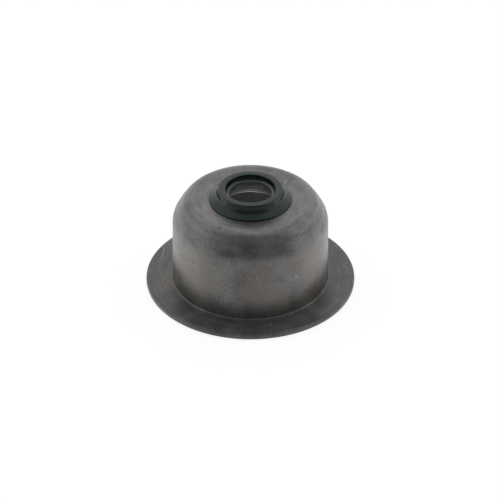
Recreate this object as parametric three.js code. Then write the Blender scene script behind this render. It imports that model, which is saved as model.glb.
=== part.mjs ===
// Valve stem seal with a spring seat: a drawn steel hat with a flat flange, and a rubber
// lip seal moulded on its roof and through the hole there.
// Millimetres, +Z up, the origin at the centre of the flange's underside.
import * as THREE from 'three';

// Sheet steel hat
const SHEET = 0.8;                  // thickness of the sheet
const EDGE_ROUND = 0.25;            // rounding of the flange's cut edge
const FLANGE_RADIUS = 15;           // outside radius of the flange
const FLANGE_FILLET = 0.2;          // rounding between the flange's top and the wall
const WALL_RADIUS = 11.2;           // outside radius of the wall at its foot
const WALL_DRAFT = 0.12;            // how much narrower the wall is at its top
const ROOF_HEIGHT = 13.94;          // highest circle of the roof above the flange's underside
const SHOULDER_LOW = 3;             // radius of the shoulder where it leaves the wall
const SHOULDER_MID = 11;            // radius of the flatter middle of the shoulder
const SHOULDER_TOP = 1.7;           // radius of the shoulder where it meets the roof
const SHOULDER_LOW_TURN = 26;       // slope angles where one radius hands over to the next
const SHOULDER_MID_TURN = 38;
const ROOF_DISH = 3.5;              // degrees by which the roof falls towards the hole
const COLLAR_RADIUS = 4.4;          // inside radius of the drawn-down collar
const COLLAR_BEND = 1.1;            // rounding from the roof down into the collar
const COLLAR_DEPTH = 1.76;          // collar's lower edge below the roof beside the ring
const COLLAR_ROUND = 0.15;          // rounding of the collar's cut edge

// Rubber moulding, heights measured from the roof at the base ring's edge
const BOND = 0.02;                  // bonding film between rubber and steel
const RING_WIDTH = 1.5;             // base ring beyond the collar's wall
const RING_SIDE = 0.05;             // upright part of the base ring's side
const RING_ROUND = 0.22;            // rounding of the base ring's edge
const RING_FACING = 60;             // direction that the base ring's top faces, in degrees
const NECK_FILLET = 0.7;            // hollow rounding from the ring up into the neck
const NECK_FACING = 16;             // direction that the neck faces
const RIM_HEIGHT = 1.77;            // top of the rim
const RIM_WIDTH = 1.06;             // flat rim, from its hole to its outside
const RIM_ROUND = 0.16;             // rounding of the rim's edges
const STEM_RADIUS = 3;              // radius of the sealing lip's edge, for the valve stem
const LIP_HEIGHT = 0.85;            // height of the sealing edge
const LIP_LEDGE = 0.35;             // ledge above the sealing edge, measured inwards
const LIP_RISE = 0.08;              // height of the ledge's outer edge over the sealing edge
const LIP_ROUND = 0.06;             // rounding of the sealing edge
const BORE_TAPER = 0.2;             // how much the bore above the ledge widens to the rim
const FOOT_DEPTH = 0.75;            // lower edge of the moulding, below the roof
const FOOT_WIDTH = 0.2;             // thickness of the moulding at that edge

const SEGMENTS = 64;                // flats round the axis
const ARC_ERROR = 0.01;             // how far an outline's chords may lie inside their arc

const STEEL = new THREE.MeshStandardMaterial({ color: 0x9a958f, roughness: 0.35, metalness: 1 });
const RUBBER = new THREE.MeshStandardMaterial({ color: 0x1e2827, roughness: 0.4, metalness: 0 });

const rad = THREE.MathUtils.degToRad;
const cosd = (angle) => Math.cos(rad(angle));
const sind = (angle) => Math.sin(rad(angle));

// A point of an outline: distance from the axis, height, and the direction that its surface faces.
const point = (r, z, facing = 0) => ({ r, z, facing });

// Points on an arc. The facing turns from `from` to `to` degrees. A hollow arc has its
// centre on the side that it faces.
function arc(centre, radius, from, to, hollow = false) {
  const turn = Math.abs(rad(to - from));
  const steps = Math.max(1, Math.ceil(turn / (2 * Math.acos(1 - ARC_ERROR / radius))));
  const side = hollow ? -radius : radius;
  const points = [];
  for (let i = 0; i <= steps; i += 1) {
    const facing = from + ((to - from) * i) / steps;
    points.push(point(centre.r + side * cosd(facing), centre.z + side * sind(facing), facing));
  }
  return points;
}

// The centre of the arc that leaves point p, whose surface faces p.facing.
const centreBehind = (p, radius) => ({ r: p.r - radius * cosd(p.facing), z: p.z - radius * sind(p.facing) });

// The same path moved along its own facing.
const offset = (path, by) => path.map((p) => point(p.r + by * cosd(p.facing), p.z + by * sind(p.facing), p.facing));

// The rounded cut edge of the sheet, from one side of it to the other. `end` is the last
// point of the side that the edge starts from, `turn` the facing of the cut itself.
function cutEdge(end, turn, round) {
  const opposite = turn + (turn - end.facing);
  const near = centreBehind(end, round);
  const far = centreBehind(end, SHEET - round);
  return [...arc(near, round, end.facing, turn), ...arc(far, round, turn, opposite)];
}

// A solid of revolution from a closed outline that runs up its outside and down its inside.
function revolve(name, outline, material) {
  const closed = [...outline, outline[0]];
  const profile = closed.map((p) => new THREE.Vector2(p.r, p.z));
  const geometry = new THREE.LatheGeometry(profile, SEGMENTS);
  geometry.rotateX(Math.PI / 2);
  const mesh = new THREE.Mesh(geometry, material);
  mesh.name = name;
  return mesh;
}

// Outer side of the shoulder, from the wall's top over to the roof.
function shoulder() {
  const turns = [
    [SHOULDER_LOW, 0, SHOULDER_LOW_TURN],
    [SHOULDER_MID, SHOULDER_LOW_TURN, SHOULDER_MID_TURN],
    [SHOULDER_TOP, SHOULDER_MID_TURN, 90],
  ];
  const rise = turns.reduce((sum, [radius, from, to]) => sum + radius * (sind(to) - sind(from)), 0);
  const path = [point(WALL_RADIUS - WALL_DRAFT, ROOF_HEIGHT - rise)];
  for (const [radius, from, to] of turns) {
    const last = path[path.length - 1];
    path.push(...arc(centreBehind(last, radius), radius, from, to).slice(1));
  }
  const crest = path[path.length - 1];
  path.push(...arc(centreBehind(crest, SHOULDER_TOP), SHOULDER_TOP, 90, 90 + ROOF_DISH).slice(1));
  return path;
}

const shoulderPath = shoulder();
const roofStart = shoulderPath[shoulderPath.length - 1];
const roofFacing = 90 + ROOF_DISH;
const roofAt = (r) => roofStart.z - (roofStart.r - r) * Math.tan(rad(ROOF_DISH));

// Centre of the bend that takes the roof down into the collar.
const bendCentreRadius = COLLAR_RADIUS + COLLAR_BEND;
const bendStartRadius = bendCentreRadius + COLLAR_BEND * cosd(roofFacing);
const bendCentre = {
  r: bendCentreRadius,
  z: roofAt(bendStartRadius) - COLLAR_BEND * sind(roofFacing),
};

const ringRadius = COLLAR_RADIUS + RING_WIDTH;
const seatHeight = roofAt(ringRadius);

// The hat: its outer side from the flange's edge to the collar's, then the inner side back.
// The two cut edges bring the end points of both sides with them.
function steelShell() {
  const fillet = { r: WALL_RADIUS + FLANGE_FILLET, z: SHEET + FLANGE_FILLET };
  const collarEnd = seatHeight - COLLAR_DEPTH + COLLAR_ROUND;
  const outer = [
    point(FLANGE_RADIUS - EDGE_ROUND, SHEET, 90),
    ...arc(fillet, FLANGE_FILLET, 90, 0, true),
    ...shoulderPath,
    ...arc(bendCentre, COLLAR_BEND, roofFacing, 180),
    point(COLLAR_RADIUS, collarEnd, 180),
  ];
  const inner = offset(outer, -SHEET).reverse();
  const collarEdge = cutEdge(outer[outer.length - 1], 270, COLLAR_ROUND);
  const flangeEdge = cutEdge(point(FLANGE_RADIUS - EDGE_ROUND, 0, -90), 0, EDGE_ROUND);
  const outline = [
    ...outer.slice(1, -1),
    ...collarEdge,
    ...inner.slice(1, -1),
    ...flangeEdge,
  ];
  return revolve('steel_shell', outline, STEEL);
}

// Centre of the hollow arc that touches the straight surfaces through p and q.
function cornerCentre(p, q, radius) {
  const reachP = p.r * cosd(p.facing) + p.z * sind(p.facing) + radius;
  const reachQ = q.r * cosd(q.facing) + q.z * sind(q.facing) + radius;
  const spread = sind(q.facing - p.facing);
  return {
    r: (reachP * sind(q.facing) - reachQ * sind(p.facing)) / spread,
    z: (reachQ * cosd(p.facing) - reachP * cosd(q.facing)) / spread,
  };
}

// Outer side of the moulding: base ring, the hollow up into the neck, the neck and the rim.
function mouldingOutside(rimRadius, rimTop) {
  const ringCentre = { r: ringRadius - RING_ROUND, z: seatHeight + RING_SIDE };
  const rimCentre = { r: rimRadius - RIM_ROUND, z: rimTop - RIM_ROUND };
  const ring = arc(ringCentre, RING_ROUND, 0, RING_FACING);
  const rim = arc(rimCentre, RIM_ROUND, NECK_FACING, 90);
  const hollow = cornerCentre(ring[ring.length - 1], rim[0], NECK_FILLET);
  return [...ring, ...arc(hollow, NECK_FILLET, RING_FACING, NECK_FACING, true), ...rim];
}

// Inner side: the rim's hole, the tapered bore, the ledge, the sealing edge and the cone under it.
function mouldingInside(rimHole, rimTop) {
  const lip = { r: STEM_RADIUS + LIP_ROUND, z: seatHeight + LIP_HEIGHT };
  const ledgeRadius = STEM_RADIUS + LIP_LEDGE;
  const footRadius = COLLAR_RADIUS - FOOT_WIDTH;
  return [
    ...arc({ r: rimHole + RIM_ROUND, z: rimTop - RIM_ROUND }, RIM_ROUND, 90, 180),
    point(ledgeRadius, lip.z + LIP_ROUND + LIP_RISE),
    ...arc(lip, LIP_ROUND, 100, 210),
    point(footRadius, seatHeight - FOOT_DEPTH),
  ];
}

// The bonded side, on the steel from the collar's bend out to the base ring's edge.
function mouldingBondedSide() {
  const radius = COLLAR_BEND + BOND;
  const footDrop = seatHeight - FOOT_DEPTH - bendCentre.z;
  const footFacing = 180 - THREE.MathUtils.radToDeg(Math.asin(footDrop / radius));
  const edge = offset([point(ringRadius, seatHeight, roofFacing)], BOND);
  return [...arc(bendCentre, radius, footFacing, roofFacing), point(ringRadius, edge[0].z)];
}

function rubberSeal() {
  const rimHole = STEM_RADIUS + LIP_LEDGE + BORE_TAPER;
  const rimRadius = rimHole + RIM_WIDTH;
  const rimTop = seatHeight + RIM_HEIGHT;
  const outline = [
    ...mouldingOutside(rimRadius, rimTop),
    ...mouldingInside(rimHole, rimTop),
    ...mouldingBondedSide(),
  ];
  return revolve('rubber_seal', outline, RUBBER);
}

const valveStemSeal = new THREE.Group();
valveStemSeal.add(steelShell(), rubberSeal());

export default valveStemSeal;
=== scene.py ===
# Valve stem seal with a spring seat: the looks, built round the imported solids.
import math

import bpy
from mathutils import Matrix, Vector


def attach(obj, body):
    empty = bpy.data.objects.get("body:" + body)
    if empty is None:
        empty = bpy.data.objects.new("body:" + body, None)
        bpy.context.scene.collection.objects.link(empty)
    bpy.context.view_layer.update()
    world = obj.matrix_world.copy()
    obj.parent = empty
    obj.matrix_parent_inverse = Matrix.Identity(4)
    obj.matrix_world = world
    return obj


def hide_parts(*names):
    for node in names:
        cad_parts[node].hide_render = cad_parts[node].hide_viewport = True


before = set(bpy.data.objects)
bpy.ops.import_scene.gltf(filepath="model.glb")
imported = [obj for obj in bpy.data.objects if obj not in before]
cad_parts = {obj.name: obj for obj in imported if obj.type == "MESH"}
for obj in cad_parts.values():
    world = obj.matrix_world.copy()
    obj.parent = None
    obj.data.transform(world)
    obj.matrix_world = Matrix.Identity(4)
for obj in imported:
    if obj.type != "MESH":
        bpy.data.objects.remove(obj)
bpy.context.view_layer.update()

MM = 0.001

# Sheet steel hat, in millimetres
SHEET = 0.8
EDGE_ROUND = 0.25
FLANGE_RADIUS = 15.0
FLANGE_FILLET = 0.2
WALL_RADIUS = 11.2
WALL_DRAFT = 0.12
ROOF_HEIGHT = 13.94
SHOULDER_LOW = 3.0
SHOULDER_MID = 11.0
SHOULDER_TOP = 1.7
SHOULDER_LOW_TURN = 26.0
SHOULDER_MID_TURN = 38.0
ROOF_DISH = 3.5
COLLAR_RADIUS = 4.4
COLLAR_BEND = 1.1
COLLAR_DEPTH = 1.76
COLLAR_ROUND = 0.15

# Rubber moulding, heights measured from the roof at the base ring's edge
BOND = 0.02
RING_WIDTH = 1.5
RING_SIDE = 0.05
RING_ROUND = 0.22
RING_FACING = 60.0
NECK_FILLET = 0.7
NECK_FACING = 16.0
RIM_HEIGHT = 1.77
RIM_WIDTH = 1.06
RIM_ROUND = 0.16
STEM_RADIUS = 3.0
LIP_HEIGHT = 0.85
LIP_LEDGE = 0.35
LIP_RISE = 0.08
LIP_ROUND = 0.06
BORE_TAPER = 0.2
FOOT_DEPTH = 0.75
FOOT_WIDTH = 0.2

SEGMENTS = 256
ARC_STEP = 6.0
LINE_STEP = 0.3

# Camera, fitted to the flange, dome and rim ellipses of the photograph
CAMERA_DISTANCE = 0.400
CAMERA_ELEVATION = 34.95
CAMERA_AIM = Vector((-0.00006, 0.0, 0.00502))
PIXELS_PER_MM = 6.924
FRAME_PIXELS = 500
SENSOR = 36.0

# White tent round the part, brightest low at its back and open towards the camera
TENT_TOP = 0.7
TENT_BACK = 1.0
TENT_SIDES = 0.8
TENT_OPENING = 0.2
OPENING_ELEVATION = 30.0
OPENING_EDGE = 70.0
OPENING_CORE = 36.0

# Floor tones: what the camera sees, and what the steel mirrors, with painted shade in front of the
# part, a painted shadow under the hat and a painted pool of light under its hole
FLOOR_REACH = 2.0
FLOOR_GREY = 0.28
FLOOR_SEEN = 0.86
FLOOR_MIRRORED = 1.0
# Painted shade in front, painted shadow under the hat and a painted pool of light under its hole, as
# the steel mirrors them
FLOOR_PAINTED_SHADE_FRONT = 0.42
FLOOR_PAINTED_SHADOW_INSIDE = 0.1
FLOOR_PAINTED_LIGHT_SPOT = 1.0

# Colours
SHEET_DARK = (0.152, 0.151, 0.148, 1.0)
SHEET_LIGHT = (0.265, 0.265, 0.26, 1.0)
SHEET_BROWN = (0.22, 0.195, 0.175, 1.0)
SPECK = (0.05, 0.045, 0.04, 1.0)
WORN = (0.5, 0.49, 0.47, 1.0)
# Darker tone for the flange
FLANGE_DARKER_TONE = (0.1, 0.098, 0.095, 1.0)
# Painted shade: dark colour for the hat's inside under its roof, where little light reaches
INNER_PAINTED_SHADE = (0.06, 0.06, 0.054, 1.0)
# Bare metal at the collar, brightened to near white as a painted highlight for the light falling on
# it through the hole
BARE_AND_HIGHLIGHT = (0.95, 0.96, 0.95, 1.0)
RUBBER_DARK = (0.004, 0.008, 0.0082, 1.0)
RUBBER_LIGHT = (0.009, 0.0145, 0.0145, 1.0)
# Painted highlight: pale colour for the lip's ledge round the stem hole
LIP_PAINTED_HIGHLIGHT = (0.08, 0.092, 0.092, 1.0)

# Grain and marks of the surfaces
METAL = 0.8
FLANGE_LESS_METAL = 0.35
CLOUD_SIZE = 2.6
GRAIN_SIZE = 0.22
BROWN_SIZE = 5.0
BLOOM_SIZE = 0.7
DRAWING_PITCH = 0.45
SCRATCH_STRENGTH = 0.32
SCUFF_STRENGTH = 0.3
RING_PITCH = 0.3

roof_facing = 90.0 + ROOF_DISH


def cosd(angle):
    return math.cos(math.radians(angle))


def sind(angle):
    return math.sin(math.radians(angle))


def tand(angle):
    return math.tan(math.radians(angle))


def arc(centre, radius, start, stop, hollow=False):
    """Outline points (r, z, facing) on an arc whose facing turns from start to stop degrees."""
    steps = max(2, math.ceil(abs(stop - start) / ARC_STEP))
    side = -radius if hollow else radius
    points = []
    for i in range(steps + 1):
        facing = start + (stop - start) * i / steps
        points.append((centre[0] + side * cosd(facing), centre[1] + side * sind(facing), facing))
    return points


def centre_behind(p, radius):
    return (p[0] - radius * cosd(p[2]), p[1] - radius * sind(p[2]))


def offset(path, by):
    return [(r + by * cosd(f), z + by * sind(f), f) for r, z, f in path]


def cut_edge(end, turn, edge_round):
    """The sheet's rounded cut edge, from the side that ends at end to the other side."""
    near = centre_behind(end, edge_round)
    far = centre_behind(end, SHEET - edge_round)
    return arc(near, edge_round, end[2], turn) + arc(far, edge_round, turn, 2 * turn - end[2])


def shoulder():
    turns = [
        (SHOULDER_LOW, 0.0, SHOULDER_LOW_TURN),
        (SHOULDER_MID, SHOULDER_LOW_TURN, SHOULDER_MID_TURN),
        (SHOULDER_TOP, SHOULDER_MID_TURN, 90.0),
    ]
    rise = sum(radius * (sind(stop) - sind(start)) for radius, start, stop in turns)
    path = [(WALL_RADIUS - WALL_DRAFT, ROOF_HEIGHT - rise, 0.0)]
    for radius, start, stop in turns:
        path += arc(centre_behind(path[-1], radius), radius, start, stop)[1:]
    path += arc(centre_behind(path[-1], SHOULDER_TOP), SHOULDER_TOP, 90.0, roof_facing)[1:]
    return path


shoulder_path = shoulder()
roof_start = shoulder_path[-1]


def roof_at(r):
    return roof_start[1] - (roof_start[0] - r) * tand(ROOF_DISH)


bend_radius = COLLAR_RADIUS + COLLAR_BEND
bend_start = bend_radius + COLLAR_BEND * cosd(roof_facing)
bend_centre = (bend_radius, roof_at(bend_start) - COLLAR_BEND * sind(roof_facing))
ring_radius = COLLAR_RADIUS + RING_WIDTH
seat_height = roof_at(ring_radius)
rim_hole = STEM_RADIUS + LIP_LEDGE + BORE_TAPER
rim_radius = rim_hole + RIM_WIDTH
rim_top = seat_height + RIM_HEIGHT


def shell_outline():
    fillet = (WALL_RADIUS + FLANGE_FILLET, SHEET + FLANGE_FILLET)
    outer = [
        (FLANGE_RADIUS - EDGE_ROUND, SHEET, 90.0),
        *arc(fillet, FLANGE_FILLET, 90.0, 0.0, hollow=True),
        *shoulder_path,
        *arc(bend_centre, COLLAR_BEND, roof_facing, 180.0),
        (COLLAR_RADIUS, seat_height - COLLAR_DEPTH + COLLAR_ROUND, 180.0),
    ]
    inner = offset(outer, -SHEET)[::-1]
    collar_edge = cut_edge(outer[-1], 270.0, COLLAR_ROUND)
    flange_edge = cut_edge((FLANGE_RADIUS - EDGE_ROUND, 0.0, -90.0), 0.0, EDGE_ROUND)
    return outer[1:-1] + collar_edge + inner[1:-1] + flange_edge


def corner_centre(p, q, radius):
    """Centre of the hollow arc that touches the straight surfaces through p and q."""
    reach_p = p[0] * cosd(p[2]) + p[1] * sind(p[2]) + radius
    reach_q = q[0] * cosd(q[2]) + q[1] * sind(q[2]) + radius
    spread = sind(q[2] - p[2])
    r = (reach_p * sind(q[2]) - reach_q * sind(p[2])) / spread
    z = (reach_q * cosd(p[2]) - reach_p * cosd(q[2])) / spread
    return (r, z)


def moulding_outside():
    """Base ring, the hollow up into the neck, the neck and the rim's outer edge."""
    ring = arc((ring_radius - RING_ROUND, seat_height + RING_SIDE), RING_ROUND, 0.0, RING_FACING)
    rim = arc((rim_radius - RIM_ROUND, rim_top - RIM_ROUND), RIM_ROUND, NECK_FACING, 90.0)
    hollow = corner_centre(ring[-1], rim[0], NECK_FILLET)
    return ring + arc(hollow, NECK_FILLET, RING_FACING, NECK_FACING, hollow=True) + rim


def moulding_inside():
    lip = (STEM_RADIUS + LIP_ROUND, seat_height + LIP_HEIGHT)
    return [
        *arc((rim_hole + RIM_ROUND, rim_top - RIM_ROUND), RIM_ROUND, 90.0, 180.0),
        (STEM_RADIUS + LIP_LEDGE, lip[1] + LIP_ROUND + LIP_RISE, 0.0),
        *arc(lip, LIP_ROUND, 100.0, 210.0),
        (COLLAR_RADIUS - FOOT_WIDTH, seat_height - FOOT_DEPTH, 0.0),
    ]


def moulding_bonded_side():
    radius = COLLAR_BEND + BOND
    foot_drop = seat_height - FOOT_DEPTH - bend_centre[1]
    foot_facing = 180.0 - math.degrees(math.asin(foot_drop / radius))
    edge = offset([(ring_radius, seat_height, roof_facing)], BOND)[0]
    return arc(bend_centre, radius, foot_facing, roof_facing) + [(ring_radius, edge[1], 0.0)]


def subdivide(outline):
    """Splits the straight stretches, so that shading stays true to the arcs at their ends."""
    points = []
    for a, b in zip(outline, outline[1:] + outline[:1]):
        length = math.hypot(b[0] - a[0], b[1] - a[1])
        if length < 1e-6:
            continue
        pieces = max(1, math.ceil(length / LINE_STEP))
        for i in range(pieces):
            t = i / pieces
            points.append((a[0] + (b[0] - a[0]) * t, a[1] + (b[1] - a[1]) * t))
    return points


def revolve(name, outline):
    profile = subdivide(outline)
    rows = len(profile)
    vertices = []
    for s in range(SEGMENTS):
        turn = 2.0 * math.pi * s / SEGMENTS
        c, n = math.cos(turn), math.sin(turn)
        vertices += [(r * c * MM, r * n * MM, z * MM) for r, z in profile]
    faces = []
    for s in range(SEGMENTS):
        a, b = s * rows, (s + 1) % SEGMENTS * rows
        for i in range(rows):
            j = (i + 1) % rows
            faces.append((a + i, b + i, b + j, a + j))
    mesh = bpy.data.meshes.new(name)
    mesh.from_pydata(vertices, [], faces)
    mesh.shade_smooth()
    piece = bpy.data.objects.new(name, mesh)
    bpy.context.scene.collection.objects.link(piece)
    return piece


# Short names for the shader nodes that the materials are made of. A value that is not a
# socket is set on the node itself.

def plug(tree, value, socket):
    if isinstance(value, bpy.types.NodeSocket):
        tree.links.new(value, socket)
    else:
        socket.default_value = value


def calc(tree, operation, a, b=0.0):
    node = tree.nodes.new("ShaderNodeMath")
    node.operation = operation
    plug(tree, a, node.inputs[0])
    plug(tree, b, node.inputs[1])
    return node.outputs[0]


def fade(tree, value, start, stop, low=0.0, high=1.0):
    """A smooth step: low where value is at start, high where it is at stop."""
    node = tree.nodes.new("ShaderNodeMapRange")
    node.interpolation_type = "SMOOTHSTEP"
    plug(tree, value, node.inputs["Value"])
    for name, number in (("From Min", start), ("From Max", stop), ("To Min", low), ("To Max", high)):
        plug(tree, number, node.inputs[name])
    return node.outputs["Result"]


def blend(tree, factor, a, b):
    node = tree.nodes.new("ShaderNodeMix")
    node.data_type = "RGBA"
    plug(tree, factor, node.inputs["Factor"])
    plug(tree, a, node.inputs["A"])
    plug(tree, b, node.inputs["B"])
    return node.outputs["Result"]


def object_coords(tree, stretch=(1.0, 1.0, 1.0), turn=(0.0, 0.0, 0.0)):
    """Object coordinates in millimetres."""
    coords = tree.nodes.new("ShaderNodeTexCoord")
    mapping = tree.nodes.new("ShaderNodeMapping")
    mapping.inputs["Scale"].default_value = [s / MM for s in stretch]
    mapping.inputs["Rotation"].default_value = [math.radians(t) for t in turn]
    tree.links.new(coords.outputs["Object"], mapping.inputs["Vector"])
    return mapping.outputs["Vector"]


def noise(tree, coords, grain, detail=2.0):
    """Noise from 0 to 1 with blotches about grain millimetres wide."""
    node = tree.nodes.new("ShaderNodeTexNoise")
    node.inputs["Scale"].default_value = 1.0 / grain
    node.inputs["Detail"].default_value = detail
    tree.links.new(coords, node.inputs["Vector"])
    return node.outputs["Fac"]


def axis_distance(tree, coords):
    flat = tree.nodes.new("ShaderNodeVectorMath")
    flat.operation = "MULTIPLY"
    flat.inputs[1].default_value = (1.0, 1.0, 0.0)
    tree.links.new(coords, flat.inputs[0])
    length = tree.nodes.new("ShaderNodeVectorMath")
    length.operation = "LENGTH"
    tree.links.new(flat.outputs[0], length.inputs[0])
    return length.outputs["Value"]


def height_of(tree, coords):
    split = tree.nodes.new("ShaderNodeSeparateXYZ")
    tree.links.new(coords, split.inputs[0])
    return split.outputs["Z"]


def bump(tree, height, depth, strength=1.0):
    node = tree.nodes.new("ShaderNodeBump")
    node.inputs["Strength"].default_value = strength
    node.inputs["Distance"].default_value = depth * MM
    tree.links.new(height, node.inputs["Height"])
    return node.outputs["Normal"]


def material(name):
    made = bpy.data.materials.new(name)
    made.use_nodes = True
    return made, made.node_tree, made.node_tree.nodes["Principled BSDF"]


def specks(tree, coords, spacing, share, size):
    """Small round spots of up to size millimetres in a share of the cells."""
    cells = tree.nodes.new("ShaderNodeTexVoronoi")
    cells.inputs["Scale"].default_value = 1.0 / spacing
    tree.links.new(coords, cells.inputs["Vector"])
    split = tree.nodes.new("ShaderNodeSeparateColor")
    tree.links.new(cells.outputs["Color"], split.inputs[0])
    chosen = calc(tree, "LESS_THAN", split.outputs["Red"], share)
    spot = fade(tree, cells.outputs["Distance"], size, 0.4 * size)
    return calc(tree, "MULTIPLY", spot, chosen)


def scratches(tree, turn, width):
    """Thin, gently bent lines along one direction, broken up into short lengths."""
    lines = noise(tree, object_coords(tree, (1.0, 0.06, 1.0), turn), 1.1, 1.0)
    line = fade(tree, calc(tree, "ABSOLUTE", calc(tree, "SUBTRACT", lines, 0.5)), width, 0.0)
    patches = noise(tree, object_coords(tree, turn=turn), 3.0, 1.0)
    return calc(tree, "MULTIPLY", line, fade(tree, patches, 0.52, 0.64))


def scuffs(tree, coords):
    """Pale rubbed spots, thickest on the flange and round the foot of the wall."""
    low = fade(tree, height_of(tree, coords), 4.0, 0.8, 0.15, 1.0)
    patches = fade(tree, noise(tree, coords, 2.4, 2.0), 0.54, 0.66)
    grains = fade(tree, noise(tree, coords, 0.2, 2.0), 0.52, 0.66)
    return calc(tree, "MULTIPLY", calc(tree, "MULTIPLY", patches, grains), low)


def inner_side(tree, coords):
    """1 on the side of the hat that faces the space under its roof, 0 on the outside."""
    place = tree.nodes.new("ShaderNodeVectorMath")
    place.operation = "SUBTRACT"
    place.inputs[1].default_value = (0.0, 0.0, 0.5 * SHEET)
    tree.links.new(coords, place.inputs[0])
    surface = tree.nodes.new("ShaderNodeTexCoord")
    outward = tree.nodes.new("ShaderNodeVectorMath")
    outward.operation = "DOT_PRODUCT"
    tree.links.new(place.outputs[0], outward.inputs[0])
    tree.links.new(surface.outputs["Normal"], outward.inputs[1])
    return calc(tree, "LESS_THAN", outward.outputs["Value"], 0.0)


def on_flange(tree, coords, amount):
    """The amount on the flange, fading to nothing just above it."""
    return fade(tree, height_of(tree, coords), 1.1, 0.82, 0.0, amount)


def drawing_marks(tree, coords):
    """Noise from 0 to 1 in long arcs round the axis, as the drawing die leaves them."""
    along = tree.nodes.new("ShaderNodeVectorMath")
    along.operation = "MULTIPLY"
    along.inputs[1].default_value = (0.1, 0.1, 0.0)
    tree.links.new(coords, along.inputs[0])
    across = tree.nodes.new("ShaderNodeCombineXYZ")
    tree.links.new(axis_distance(tree, coords), across.inputs["Z"])
    both = tree.nodes.new("ShaderNodeVectorMath")
    both.operation = "ADD"
    tree.links.new(along.outputs[0], both.inputs[0])
    tree.links.new(across.outputs[0], both.inputs[1])
    return noise(tree, both.outputs[0], DRAWING_PITCH, 2.0)


def mix_of(tree, parts):
    """Weighted sum of values."""
    total = 0.0
    for value, weight in parts:
        total = calc(tree, "ADD", calc(tree, "MULTIPLY", value, weight), total)
    return total


def steel_colour(tree, coords, cloud, grain):
    """Grey to brownish sheet with dark specks and pale scratches, each over the one before, a darker
    flange, painted shade inside the hat and a painted highlight on the collar.
    """
    parts = [(cloud, 0.45), (grain, 0.3), (drawing_marks(tree, coords), 0.25)]
    tone = mix_of(tree, parts)
    colour = blend(tree, fade(tree, tone, 0.36, 0.64), SHEET_DARK, SHEET_LIGHT)
    on_wall = fade(tree, height_of(tree, coords), 11.5, 8.0, 0.12, 0.6)
    brown = fade(tree, noise(tree, coords, BROWN_SIZE, 2.0), 0.42, 0.62)
    colour = blend(tree, calc(tree, "MULTIPLY", brown, on_wall), colour, SHEET_BROWN)
    dark = calc(tree, "MULTIPLY", specks(tree, coords, 0.9, 0.22, 0.24), 0.6)
    colour = blend(tree, dark, colour, SPECK)
    first_way = scratches(tree, (0.0, 0.0, 35.0), 0.014)
    second_way = scratches(tree, (0.0, 0.0, -70.0), 0.012)
    lines = calc(tree, "MULTIPLY", calc(tree, "MAXIMUM", first_way, second_way), SCRATCH_STRENGTH)
    rubbed = calc(tree, "MULTIPLY", scuffs(tree, coords), SCUFF_STRENGTH)
    marks = calc(tree, "MAXIMUM", lines, rubbed)
    # Darker on the flange, fading out just above it, most where the sheet's tone is dark
    flange_darkening = on_flange(tree, coords, fade(tree, tone, 0.38, 0.62, 0.8, 0.32))
    colour = blend(tree, flange_darkening, colour, FLANGE_DARKER_TONE)
    colour = blend(tree, marks, colour, WORN)
    # Painted shade on the inside of the hat, under its roof
    colour = blend(tree, inner_side(tree, coords), colour, INNER_PAINTED_SHADE)
    # Collar painted near white: bare metal, and a painted highlight where light falls through the
    # hole
    collar = fade(tree, axis_distance(tree, coords), 5.2, 4.9)
    return blend(tree, collar, colour, BARE_AND_HIGHLIGHT)


def steel_material():
    """Dull, faintly mottled sheet steel."""
    made, tree, shader = material("pressed_steel")
    coords = object_coords(tree)
    drawn = object_coords(tree, (1.0, 1.0, 0.5))
    cloud = noise(tree, coords, CLOUD_SIZE, 4.0)
    grain = noise(tree, drawn, GRAIN_SIZE, 3.0)
    plug(tree, steel_colour(tree, coords, cloud, grain), shader.inputs["Base Color"])
    metal = calc(tree, "SUBTRACT", METAL, on_flange(tree, coords, FLANGE_LESS_METAL))
    plug(tree, metal, shader.inputs["Metallic"])
    cloudy = fade(tree, cloud, 0.3, 0.7, 0.3, 0.4)
    rough = calc(tree, "ADD", cloudy, calc(tree, "MULTIPLY", grain, 0.08))
    plug(tree, rough, shader.inputs["Roughness"])
    plug(tree, bump(tree, grain, 0.008, 0.7), shader.inputs["Normal"])
    return made


def rubber_material():
    """Near-black rubber with a green cast, moulding rings on the rim and a painted highlight on the
    lip's ledge.
    """
    made, tree, shader = material("seal_rubber")
    coords = object_coords(tree)
    bloom = noise(tree, coords, BLOOM_SIZE, 4.0)
    from_axis = axis_distance(tree, coords)
    colour = blend(tree, fade(tree, bloom, 0.35, 0.7), RUBBER_DARK, RUBBER_LIGHT)
    # Painted highlight: a pale ring painted on the lip's ledge, where light catches it
    near = fade(tree, from_axis, STEM_RADIUS + 0.4, STEM_RADIUS + 0.3)
    edge = fade(tree, from_axis, STEM_RADIUS + 0.05, STEM_RADIUS + 0.15)
    near = calc(tree, "MULTIPLY", near, edge)
    lip_height = seat_height + LIP_HEIGHT
    above = fade(tree, height_of(tree, coords), lip_height - 0.08, lip_height)
    colour = blend(tree, calc(tree, "MULTIPLY", near, above), colour, LIP_PAINTED_HIGHLIGHT)
    plug(tree, colour, shader.inputs["Base Color"])
    plug(tree, fade(tree, bloom, 0.3, 0.7, 0.17, 0.25), shader.inputs["Roughness"])
    shader.inputs["IOR"].default_value = 1.52
    shader.inputs["Specular Tint"].default_value = (0.84, 1.0, 1.0, 1.0)
    rings = calc(tree, "SINE", calc(tree, "MULTIPLY", from_axis, 2.0 * math.pi / RING_PITCH))
    relief = calc(tree, "ADD", calc(tree, "MULTIPLY", rings, 0.5), noise(tree, coords, 0.15, 2.0))
    plug(tree, bump(tree, relief, 0.006, 0.5), shader.inputs["Normal"])
    return made


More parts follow.
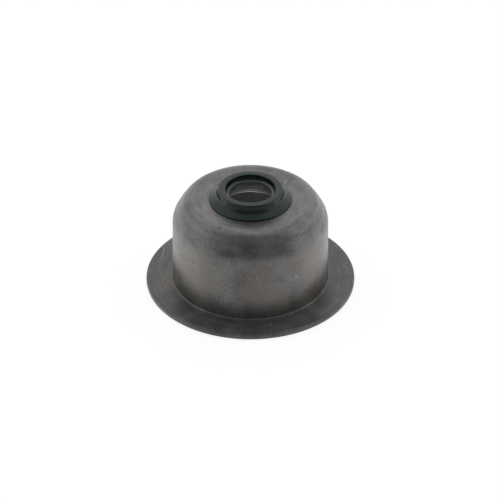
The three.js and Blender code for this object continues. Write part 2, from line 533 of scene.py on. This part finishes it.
def floor_glow(tree):
    """White for the camera; for reflections painted shade in front of the part, a painted shadow
    under the hat and a painted pool of light at its centre, where light falls through the hole."""
    path = tree.nodes.new("ShaderNodeLightPath")
    split = tree.nodes.new("ShaderNodeSeparateXYZ")
    tree.links.new(object_coords(tree), split.inputs[0])
    # Painted shade in front of the part, then a painted shadow under the hat with a painted pool of
    # light at its centre
    mirrored = fade(tree, split.outputs["Y"], -24.0, -6.0, FLOOR_PAINTED_SHADE_FRONT, FLOOR_MIRRORED)
    from_axis = axis_distance(tree, object_coords(tree))
    inside = fade(tree, from_axis, 6.0, 3.5, FLOOR_PAINTED_SHADOW_INSIDE, FLOOR_PAINTED_LIGHT_SPOT)
    mirrored = fade(tree, from_axis, WALL_RADIUS, WALL_RADIUS - SHEET, mirrored, inside)
    seen = calc(tree, "MULTIPLY", path.outputs["Is Camera Ray"], FLOOR_SEEN)
    return calc(tree, "ADD", seen, calc(tree, "MULTIPLY", path.outputs["Is Glossy Ray"], mirrored))


def add_floor():
    far = FLOOR_REACH
    corners = [(-far, -far, 0), (far, -far, 0), (far, far, 0), (-far, far, 0)]
    mesh = bpy.data.meshes.new("floor")
    mesh.from_pydata(corners, [], [(0, 1, 2, 3)])
    floor = bpy.data.objects.new("floor", mesh)
    bpy.context.scene.collection.objects.link(floor)
    made, tree, shader = material("pale_floor")
    shader.inputs["Base Color"].default_value = (FLOOR_GREY, FLOOR_GREY, FLOOR_GREY, 1.0)
    shader.inputs["Roughness"].default_value = 0.9
    shader.inputs["Specular IOR Level"].default_value = 0.0
    glow = tree.nodes.new("ShaderNodeEmission")
    plug(tree, floor_glow(tree), glow.inputs["Strength"])
    add = tree.nodes.new("ShaderNodeAddShader")
    tree.links.new(shader.outputs[0], add.inputs[0])
    tree.links.new(glow.outputs[0], add.inputs[1])
    tree.links.new(add.outputs[0], tree.nodes["Material Output"].inputs["Surface"])
    mesh.materials.append(made)


def add_tent():
    """White light from all round, less of it from the opening on the camera's side."""
    world = bpy.data.worlds.new("tent")
    bpy.context.scene.world = world
    world.use_nodes = True
    tree = world.node_tree
    coords = tree.nodes.new("ShaderNodeTexCoord")
    split = tree.nodes.new("ShaderNodeSeparateXYZ")
    tree.links.new(coords.outputs["Generated"], split.inputs[0])
    sideways = calc(tree, "ABSOLUTE", split.outputs["X"])
    low_back = fade(tree, split.outputs["Z"], 0.75, 0.45, TENT_TOP, TENT_BACK)
    tent = fade(tree, sideways, 0.2, 0.8, low_back, TENT_SIDES)
    towards = tree.nodes.new("ShaderNodeVectorMath")
    towards.operation = "DOT_PRODUCT"
    towards.inputs[1].default_value = (0.0, -cosd(OPENING_ELEVATION), sind(OPENING_ELEVATION))
    tree.links.new(coords.outputs["Generated"], towards.inputs[0])
    edge, core = cosd(OPENING_EDGE), cosd(OPENING_CORE)
    strength = fade(tree, towards.outputs["Value"], edge, core, tent, TENT_OPENING)
    plug(tree, strength, tree.nodes["Background"].inputs["Strength"])
    tree.nodes["Background"].inputs["Color"].default_value = (1.0, 1.0, 1.0, 1.0)


def add_camera():
    lens = bpy.data.cameras.new("camera")
    lens.sensor_width = SENSOR
    lens.lens = PIXELS_PER_MM / MM * CAMERA_DISTANCE * SENSOR / FRAME_PIXELS
    lens.clip_start = 0.01
    camera = bpy.data.objects.new("camera", lens)
    camera.location = CAMERA_DISTANCE * Vector((0.0, -cosd(CAMERA_ELEVATION), sind(CAMERA_ELEVATION)))
    direction = CAMERA_AIM - camera.location
    camera.rotation_euler = direction.to_track_quat("-Z", "Y").to_euler()
    bpy.context.scene.collection.objects.link(camera)
    bpy.context.scene.camera = camera


def add_shell():
    piece = revolve("hat", shell_outline())
    piece.data.materials.append(steel_material())
    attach(piece, "root")
    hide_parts("steel_shell")


def add_seal():
    outline = moulding_outside() + moulding_inside() + moulding_bonded_side()
    piece = revolve("lip_seal", outline)
    piece.data.materials.append(rubber_material())
    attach(piece, "root")
    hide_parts("rubber_seal")


add_camera()
add_shell()
add_seal()
add_floor()
add_tent()
bpy.context.scene.view_settings.view_transform = "Standard"
